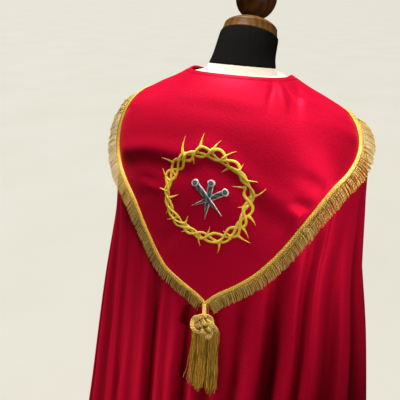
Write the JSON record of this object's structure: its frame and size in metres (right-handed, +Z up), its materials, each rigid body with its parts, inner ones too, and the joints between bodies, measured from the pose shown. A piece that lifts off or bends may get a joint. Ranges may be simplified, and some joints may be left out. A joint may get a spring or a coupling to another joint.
{
  "type": "cope vestment on a dress form",
  "caption": "Full-length hooded cope with a fringed, pointed hood and hanging tassel, draped open at the front on a limbless dress form with pole and round base.",
  "frame": {"origin": "middle of the stand base's underside, on the floor", "axes": "+Z up; -Y the way the wearer faces; +X the wearer's left"},
  "size_m": [1.0286, 0.7344, 1.6432],
  "materials": {
    "red_satin": "fine-woven satin with a soft sheen",
    "gold_thread": "twisted gold thread",
    "brass": "polished",
    "ecru_cotton": "matte cotton cover",
    "black_jersey": "matte jersey cover",
    "turned_wood": "stained and varnished"
  },
  "bodies": {
    "root": {"cope_back": "red_satin", "cope_left_front": "red_satin", "cope_right_front": "red_satin", "hood": "red_satin", "neckband": "red_satin", "hood_fringe": "gold_thread", "tassel_cord": "gold_thread", "tassel_knot": "gold_thread", "tassel_skirt": "gold_thread", "clasp_left": "brass", "clasp_right": "brass", "clasp_link": "brass", "form_torso": "ecru_cotton", "form_neck": "black_jersey", "form_cap": "turned_wood", "form_ball": "turned_wood", "stand_pole": "turned_wood", "stand_base": "turned_wood"}
  },
  "joints": []
}
